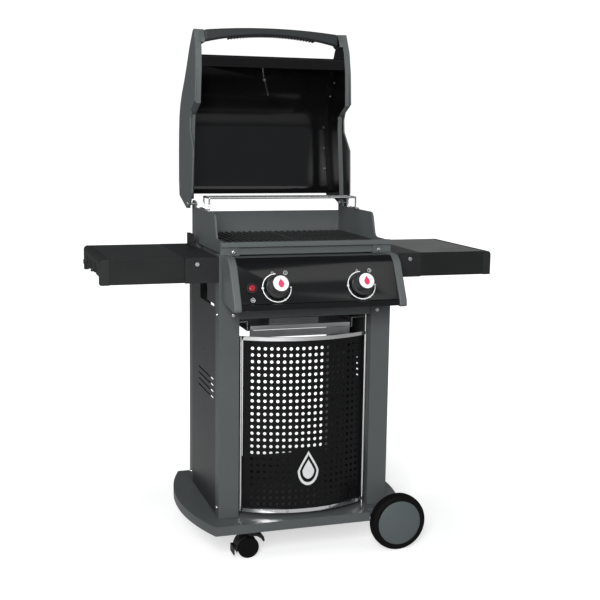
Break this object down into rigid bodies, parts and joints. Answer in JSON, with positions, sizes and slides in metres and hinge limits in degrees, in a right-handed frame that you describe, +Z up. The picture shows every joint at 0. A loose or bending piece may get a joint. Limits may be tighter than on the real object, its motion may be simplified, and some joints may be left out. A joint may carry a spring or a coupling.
{
  "type": "gas barbecue grill",
  "caption": "Gas barbecue on a wheeled cart: hinged lid, cookbox with grates, control knobs, folding side tables, bowed door and grease tray.",
  "frame": {"origin": "on the floor under the middle of the whole object's box", "axes": "+X to the user's right, +Y to the back, +Z up"},
  "size_m": [1.2432, 0.7598, 1.6066],
  "materials": {
    "grey_paint": "satin dark grey paint",
    "side_paint": "satin dark grey paint on sheet",
    "cast_grey": "fine textured grey paint on a casting",
    "black_enamel": "gloss black enamel",
    "table_black": "satin black paint",
    "black_plastic": "textured black plastic",
    "trim_grey": "textured grey plastic",
    "knob_black": "satin black plastic",
    "grate_iron": "porcelain-coated cast iron",
    "burner_steel": "brushed stainless steel",
    "bright_chrome": "polished chrome",
    "zinc": "zinc plate",
    "brass": "satin brass",
    "tray_metal": "satin aluminium",
    "tyre_rubber": "matt black",
    "hub_grey": "satin grey plastic",
    "button_red": "gloss red plastic",
    "gauge_steel": "brushed steel",
    "print_white": "white print and white caps",
    "mark_red": "red print"
  },
  "bodies": {
    "frame": {"base_shelf": "grey_paint", "left_front_post": "grey_paint", "right_front_post": "grey_paint", "rear_posts": "grey_paint", "left_side_panel": "side_paint", "right_side_panel": "side_paint", "front_crossbar": "grey_paint", "rear_crossbar": "grey_paint", "rear_panel": "grey_paint", "frame_screws": "zinc", "cookbox": "cast_grey", "flavour_bars": "burner_steel", "burner_tubes": "burner_steel", "gas_manifold": "brass", "left_grate": "grate_iron", "right_grate": "grate_iron", "warming_rack": "bright_chrome", "control_panel": "black_enamel", "left_panel_cap": "cast_grey", "right_panel_cap": "cast_grey", "igniter_housing": "black_plastic", "left_table_bracket": "black_plastic", "right_table_bracket": "black_plastic", "table_pivots": "zinc", "tray_rails": "zinc", "door_pins": "bright_chrome", "axle": "zinc", "lid_hinge_pins": "zinc"},
    "lid": {"lid_shroud": "black_enamel", "lid_left_cap": "cast_grey", "lid_right_cap": "cast_grey", "lid_lip": "black_enamel", "lid_handle": "grey_paint", "thermometer": "gauge_steel", "lid_screws": "zinc"},
    "door": {"door_frame": "bright_chrome", "door_skin": "black_enamel"},
    "left_table": {"left_table_top": "table_black", "left_table_trim": "trim_grey", "left_tool_hooks": "black_plastic"},
    "right_table": {"right_table_top": "table_black", "right_table_trim": "trim_grey", "right_tool_hooks": "black_plastic"},
    "left_stem": {"left_knob_stem": "brass"},
    "right_stem": {"right_knob_stem": "brass"},
    "left_dial": {"left_knob": "knob_black"},
    "right_dial": {"right_knob": "knob_black"},
    "igniter": {"igniter_button": "button_red"},
    "tray": {"grease_tray": "tray_metal", "drip_pan": "tray_metal"},
    "front_wheel": {"front_tyre": "tyre_rubber", "front_hub": "hub_grey"},
    "rear_wheel": {"rear_tyre": "tyre_rubber", "rear_hub": "hub_grey"},
    "front_caster": {"front_caster_hood": "black_plastic"},
    "front_caster_roller": {"front_caster_wheels": "tyre_rubber"},
    "front_caster_lever": {"front_caster_brake": "black_plastic"},
    "rear_caster": {"rear_caster_hood": "black_plastic"},
    "rear_caster_roller": {"rear_caster_wheels": "tyre_rubber"},
    "rear_caster_lever": {"rear_caster_brake": "black_plastic"}
  },
  "joints": [
    {"name": "lid_hinge", "type": "hinge", "parent": "frame", "child": "lid", "pos_m": [0, 0.19726, 1.046], "axis": [1, 0, 0], "range_deg": [0, 94]},
    {"name": "door_hinge", "type": "hinge", "parent": "frame", "child": "door", "pos_m": [0.1975, -0.19174, 0.4], "axis": [0, 0, 1], "range_deg": [0, 72]},
    {"name": "left_table_fold", "type": "hinge", "parent": "frame", "child": "left_table", "pos_m": [-0.332, -0.01274, 0.9], "axis": [0, -1, 0], "range_deg": [0, 90]},
    {"name": "right_table_fold", "type": "hinge", "parent": "frame", "child": "right_table", "pos_m": [0.332, -0.01274, 0.9], "axis": [0, 1, 0], "range_deg": [0, 90]},
    {"name": "left_knob_push", "type": "slide", "parent": "frame", "child": "left_stem", "axis": [0, 0.9063, -0.4226], "range_m": [0, 0.003], "stiffness_N_per_m": 900},
    {"name": "right_knob_push", "type": "slide", "parent": "frame", "child": "right_stem", "axis": [0, 0.9063, -0.4226], "range_m": [0, 0.003], "stiffness_N_per_m": 900},
    {"name": "left_knob_turn", "type": "hinge", "parent": "left_stem", "child": "left_dial", "pos_m": [-0.1285, -0.32874, 0.843], "axis": [0, -0.9063, 0.4226], "range_deg": [0, 235]},
    {"name": "right_knob_turn", "type": "hinge", "parent": "right_stem", "child": "right_dial", "pos_m": [0.1285, -0.32874, 0.843], "axis": [0, -0.9063, 0.4226], "range_deg": [0, 235]},
    {"name": "igniter_push", "type": "slide", "parent": "frame", "child": "igniter", "axis": [0, 0.9063, -0.4226], "range_m": [0, 0.004], "stiffness_N_per_m": 600},
    {"name": "tray_slide", "type": "slide", "parent": "frame", "child": "tray", "axis": [0, -1, 0], "range_m": [0, 0.28]},
    {"name": "front_wheel_spin", "type": "hinge", "parent": "frame", "child": "front_wheel", "pos_m": [0.287, -0.27474, 0.0885], "axis": [0, 1, 0], "continuous": true},
    {"name": "rear_wheel_spin", "type": "hinge", "parent": "frame", "child": "rear_wheel", "pos_m": [0.287, 0.24726, 0.0885], "axis": [0, 1, 0], "continuous": true},
    {"name": "front_caster_swivel", "type": "hinge", "parent": "frame", "child": "front_caster", "pos_m": [-0.194, -0.20374, 0.08], "axis": [0, 0, 1], "continuous": true},
    {"name": "front_caster_roll", "type": "hinge", "parent": "front_caster", "child": "front_caster_roller", "pos_m": [-0.178, -0.20374, 0.033], "axis": [0, 1, 0], "continuous": true},
    {"name": "front_caster_brake_press", "type": "hinge", "parent": "front_caster", "child": "front_caster_lever", "pos_m": [-0.172, -0.20374, 0.076], "axis": [0, 1, 0], "range_deg": [0, 12]},
    {"name": "rear_caster_swivel", "type": "hinge", "parent": "frame", "child": "rear_caster", "pos_m": [-0.194, 0.19426, 0.08], "axis": [0, 0, 1], "continuous": true},
    {"name": "rear_caster_roll", "type": "hinge", "parent": "rear_caster", "child": "rear_caster_roller", "pos_m": [-0.178, 0.19426, 0.033], "axis": [0, 1, 0], "continuous": true},
    {"name": "rear_caster_brake_press", "type": "hinge", "parent": "rear_caster", "child": "rear_caster_lever", "pos_m": [-0.172, 0.19426, 0.076], "axis": [0, 1, 0], "range_deg": [0, 12]}
  ]
}
